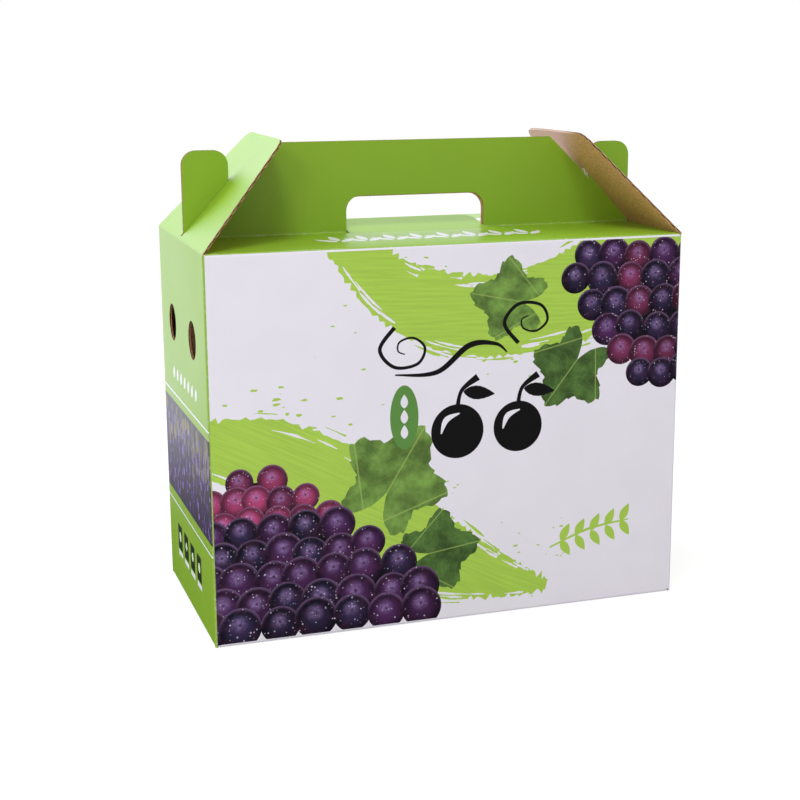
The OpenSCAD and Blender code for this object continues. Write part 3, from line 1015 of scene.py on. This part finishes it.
def tab():
    """The tab pushed in from the hand hole, and the thin ramp that joins it to the roof's crease."""
    rise = math.radians(TAB_RISE)
    lift = Vector((-math.sin(rise), math.cos(rise))) * BOARD
    start = Vector((-FILM / 2, HEIGHT + FILM)) + lift
    chain = Chain(start, TAB_RISE, 1).run(HAND_TOP)
    wide = HAND_HALF - CUT_GAP
    half = [(wide, 0, 0), (wide, HAND_TOP - CUT_GAP, HAND_R - CUT_GAP)]
    piece = sheet("pushed_in_tab", rounded(mirrored(half)), in_section(chain), body="tab",
                  ground=LIME)
    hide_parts("hand_hole_tab")

    above = 0.04
    top = start.y - HEIGHT - above
    climb = Chain((start.x - top / math.tan(rise), HEIGHT + above), TAB_RISE, 1).run(top / math.sin(rise))
    outline = box_loop(-wide, wide, 0, climb.length)
    past = 60.0
    steps = [((-past, climb.length - 0.4 * k), (past, climb.length - 0.4 * k)) for k in range(1, 8)]
    crease = sheet("tab_crease", outline, in_section(climb), lines=steps,
                   body=None, ground=LIME, board=0.25)
    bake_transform(crease)


def torn_fibres():
    """Shreds of the white liner that hang at the end of the right flap's slit, each a tapering strip."""
    slope = math.radians(FLAP_SLOPE)
    along = Vector((-math.cos(slope), 0, math.sin(slope)))
    inward = Vector((-math.sin(slope), 0, -math.cos(slope)))
    rng = random.Random(5)
    shreds, steps = 8, 4
    coords, faces = [], []
    for k in range(shreds):
        root = Vector((HALF_W, rng.uniform(-2.9, -2.0), HEIGHT)) + along * rng.uniform(49, 54)
        root += inward * (BOARD + 1.2)
        drop = Vector((rng.uniform(-0.1, 0.5), rng.uniform(-0.2, 0.05), -1)).normalized()
        length = rng.uniform(2.0, 5.2)
        across = Vector((1, rng.uniform(-0.4, 0.4), 0)).normalized() * rng.uniform(0.15, 0.32)
        first = len(coords)
        for i in range(steps + 1):
            t = i / steps
            centre = root + drop * length * t + inward * 0.6 * math.sin(3 * t + k)
            width = across * (1 - 0.8 * t)
            coords += [(centre - width) * MM, (centre + width) * MM,
                       (centre + width + inward * 0.1) * MM, (centre - width + inward * 0.1) * MM]
        for i in range(steps):
            a = first + 4 * i
            for j in range(4):
                n = (j + 1) % 4
                faces.append((a + j, a + n, a + 4 + n, a + 4 + j))
        faces += [(first + 3, first + 2, first + 1, first), tuple(first + 4 * steps + j for j in range(4))]
    mesh = bpy.data.meshes.new("torn_fibres")
    mesh.from_pydata(coords, [], faces)
    mesh.materials.append(fibre_material())
    piece = linked("torn_fibres", mesh)
    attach(piece, "right_flap")


def fibre_material():
    """Torn white paper."""
    m = Nodes("torn_paper")
    place = m.add("ShaderNodeTexCoord", "Object")
    colour = m.mix(m.noise(place, 900.0), ink(232, 224, 214), ink(250, 248, 244))
    return m.surface(colour, 0.9)


# Camera, light and table

# Light by colour channel, in watts for the lamps, fitted to the photo's tones
AMBIENT = (0.70, 0.69, 0.67)
BEHIND = 1.65  # strength of what glossy board reflects from behind the box
BEHIND_TINT = (0.90, 0.93, 1.0)
SHADE = 0.2  # the part of the table's white that the box's shadow takes away
TABLE_WHITE = 1.07  # a little over 1, so that the table stays pure white away from the box
BACK_W = (10.6, 12.0, 15.2)
FRONT_W = (9.2, 10.2, 10.2)
LEFT_W = (3.5, 3.5, 3.6)


# The camera, fitted to the carton's corners, folds and holes
EYE = (-0.3329, -1.0039, 0.3760)
AZIMUTH, ELEVATION = math.radians(19.44), math.radians(12.865)


def camera():
    data = bpy.data.cameras.new("camera")
    data.lens = 70.6
    data.sensor_width = 36
    data.shift_x = -0.0564
    data.shift_y = -0.005
    data.clip_start = 0.05
    eye = linked("camera", data)
    eye.location = EYE
    forward = Vector((math.sin(AZIMUTH) * math.cos(ELEVATION), math.cos(AZIMUTH) * math.cos(ELEVATION),
                      -math.sin(ELEVATION)))
    eye.rotation_euler = forward.to_track_quat("-Z", "Y").to_euler()
    bpy.context.scene.camera = eye


def area_light(name, location, aim, size, power):
    """A square lamp turned to its aim, with a power for each colour channel."""
    data = bpy.data.lights.new(name, "AREA")
    data.size = size
    data.energy = max(power)
    data.color = [p / max(*power, 1e-6) for p in power]
    lamp = linked(name, data)
    lamp.location = location
    lamp.rotation_euler = (Vector(aim) - Vector(location)).to_track_quat("-Z", "Y").to_euler()


def room():
    """A white room: even light all round, brighter in reflections from behind, dim from the front."""
    m = Nodes("room", world=True)
    seen, glossy = m.rays()
    _, back, _ = m.parts(m.add("ShaderNodeTexCoord", "Generated"))
    gloss = m.times(m.span(back, -0.25, 0.35, 0.08, 1.0), BEHIND)
    strength = m.span(glossy, 0.0, 1.0, 1.0, gloss, False)
    strength = m.span(seen, 0.0, 1.0, strength, 1.0, False)
    colour = m.mix(glossy, AMBIENT, BEHIND_TINT)
    colour = m.mix(seen, colour, WHITE)
    m.put(m.shader.inputs["Color"], colour)
    m.put(m.shader.inputs["Strength"], strength)
    bpy.context.scene.world = m.material


def table():
    """A white table with a faint shadow under the box; glossy boards see it bright behind them only."""
    bpy.ops.mesh.primitive_plane_add(size=8, location=(0, 0, -0.0002))
    plane = bpy.context.object
    plane.name = "floor"
    m = Nodes("floor")
    seen, glossy = m.rays()
    lit = m.mix(seen, (0.8, 0.8, 0.8), (SHADE, SHADE, SHADE))
    m.surface(m.mix(glossy, lit, (0.0, 0.0, 0.0)), 0.9, 0.0)
    place = m.add("ShaderNodeTexCoord", "Object")
    _, depth, _ = m.parts(place)
    away = m.add("ShaderNodeVectorMath", 1, {"operation": "LENGTH"}, Vector=place)
    gloss = m.times(m.span(away, 0.26, 0.72, 0.0, 1.0), m.span(depth, -0.15, 0.2))
    gloss = m.times(m.times(gloss, BEHIND), glossy)
    m.put(m.shader.inputs["Emission Color"], m.mix(seen, BEHIND_TINT, WHITE))
    m.put(m.shader.inputs["Emission Strength"], m.math("MULTIPLY_ADD", seen, TABLE_WHITE - SHADE, gloss))
    plane.data.materials.append(m.material)


def studio():
    """The room, the table and three lamps."""
    bpy.context.scene.view_settings.view_transform = "Standard"
    room()
    table()
    area_light("back_key", (-0.74, 0.88, 1.18), (0, 0, 0.25), 0.75, BACK_W)
    area_light("front_top", (-0.5, -0.7, 1.7), (0, 0, 0.2), 0.45, FRONT_W)
    area_light("front_left", (-0.9, -1.3, 0.9), (0, 0, 0.2), 0.35, LEFT_W)


camera()
studio()
roofs = tops()
walls()
floor()
lock_flap("left_flap_board", -1, 0.9, 0.0)
lock_flap("right_flap_board", 1, 2.2, 2.2)
torn_fibres()
tab()
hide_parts("carton")
